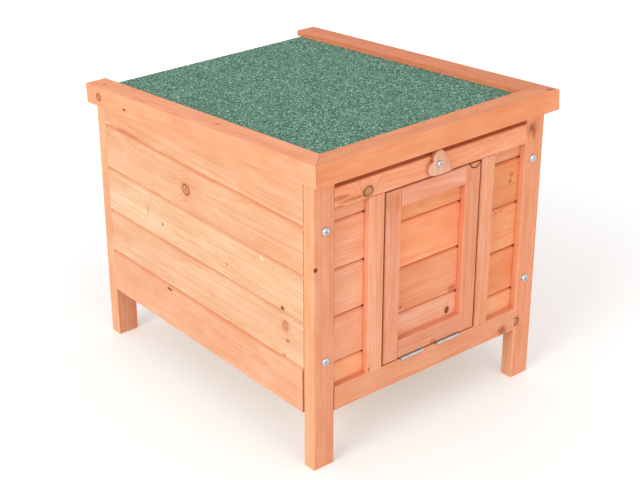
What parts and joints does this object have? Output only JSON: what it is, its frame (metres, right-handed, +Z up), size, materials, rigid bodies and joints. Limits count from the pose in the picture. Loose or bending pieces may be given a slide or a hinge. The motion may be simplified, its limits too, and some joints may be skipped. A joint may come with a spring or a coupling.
{
  "type": "rabbit hutch",
  "caption": "Small raised wooden rabbit hutch with boarded sides, a drop-down ramp door held by a heart-shaped turn button, and a sloping felted lid hinged at the back.",
  "frame": {"origin": "on the ground under the middle of the roof", "axes": "+X to the right seen from the front, +Y from the front (door side) to the back, +Z up"},
  "size_m": [0.415, 0.512, 0.4319],
  "materials": {
    "frame_wood": "satin orange-brown stain on fir",
    "board_wood": "satin orange-brown stain on fir",
    "roof_wood": "satin orange-brown stain on fir",
    "button_wood": "satin light stain",
    "batten_wood": "planed bare fir",
    "plywood": "bare plywood",
    "roof_felt": "green mineral-grit roofing felt",
    "zinc": "bright zinc plate"
  },
  "bodies": {
    "hutch": {"front_left_post": "frame_wood", "front_right_post": "frame_wood", "front_top_rail": "frame_wood", "front_bottom_rail": "frame_wood", "front_left_jamb": "frame_wood", "front_right_jamb": "frame_wood", "front_boards_1": "board_wood", "front_boards_2": "board_wood", "front_boards_3": "board_wood", "front_boards_4": "board_wood", "front_boards_5": "board_wood", "back_left_post": "frame_wood", "back_right_post": "frame_wood", "back_top_rail": "frame_wood", "back_bottom_rail": "frame_wood", "back_board_1": "board_wood", "back_board_2": "board_wood", "back_board_3": "board_wood", "back_board_4": "board_wood", "left_board_1": "board_wood", "left_board_2": "board_wood", "left_board_3": "board_wood", "left_board_4": "board_wood", "left_board_5": "board_wood", "right_board_1": "board_wood", "right_board_2": "board_wood", "right_board_3": "board_wood", "right_board_4": "board_wood", "right_board_5": "board_wood", "door_stop": "batten_wood", "front_corner_battens": "batten_wood", "back_corner_battens": "batten_wood", "left_floor_batten": "batten_wood", "right_floor_batten": "batten_wood", "floor_panel": "plywood", "door_hinge_fixed_leaves": "zinc", "door_hinge_pins": "zinc", "turn_button_screw": "zinc", "frame_screws": "zinc", "roof_hinge_fixed_leaves": "zinc", "roof_hinge_pins": "zinc"},
    "door": {"door_left_stile": "frame_wood", "door_right_stile": "frame_wood", "door_top_rail": "frame_wood", "door_bottom_rail": "frame_wood", "door_board_1": "board_wood", "door_board_2": "board_wood", "door_board_3": "board_wood", "door_board_4": "board_wood", "door_hinge_moving_leaves": "zinc"},
    "turn_button": {"turn_button": "button_wood"},
    "roof": {"roof_left_rail": "roof_wood", "roof_right_rail": "roof_wood", "roof_front_rail": "roof_wood", "roof_deck": "plywood", "roof_felt": "roof_felt", "roof_back_batten": "batten_wood", "roof_hinge_moving_leaves": "zinc"}
  },
  "joints": [
    {"name": "door_drop", "type": "hinge", "parent": "hutch", "child": "door", "pos_m": [0, -0.2405, 0.1129], "axis": [1, 0, 0], "range_deg": [0, 117.5]},
    {"name": "button_turn", "type": "hinge", "parent": "hutch", "child": "turn_button", "pos_m": [0, -0.2417, 0.37803], "axis": [0, -1, 0], "range_deg": [-205, 85]},
    {"name": "lid_lift", "type": "hinge", "parent": "hutch", "child": "roof", "pos_m": [0, 0.2476, 0.36709], "axis": [-1, 0, 0], "range_deg": [0, 105]}
  ]
}
